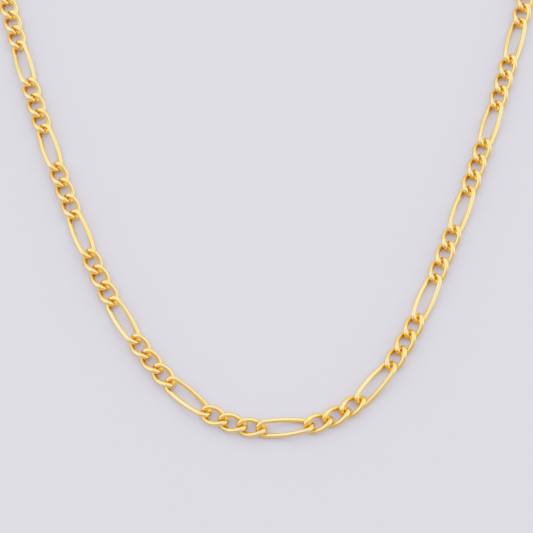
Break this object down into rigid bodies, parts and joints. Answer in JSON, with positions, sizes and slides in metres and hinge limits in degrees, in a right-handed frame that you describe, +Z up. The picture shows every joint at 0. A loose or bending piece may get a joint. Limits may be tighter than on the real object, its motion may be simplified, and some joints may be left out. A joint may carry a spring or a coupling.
{
  "type": "figaro chain necklace",
  "caption": "Closed neck chain of twisted oval wire links, short ones in rows between long ones, with a plain bar clasp, lying flat in a loop.",
  "frame": {"origin": "middle of the loop's box, on the surface that the chain lies on", "axes": "+Y from the bottom of the loop to its clasp, +X to the right seen from above, +Z up from the surface"},
  "size_m": [0.1027, 0.1878, 0.0018],
  "materials": {
    "polished_gold": "polished yellow gold plate"
  },
  "bodies": {
    "root": {"chain_left": "polished_gold", "chain_right": "polished_gold", "clasp": "polished_gold"}
  },
  "joints": []
}
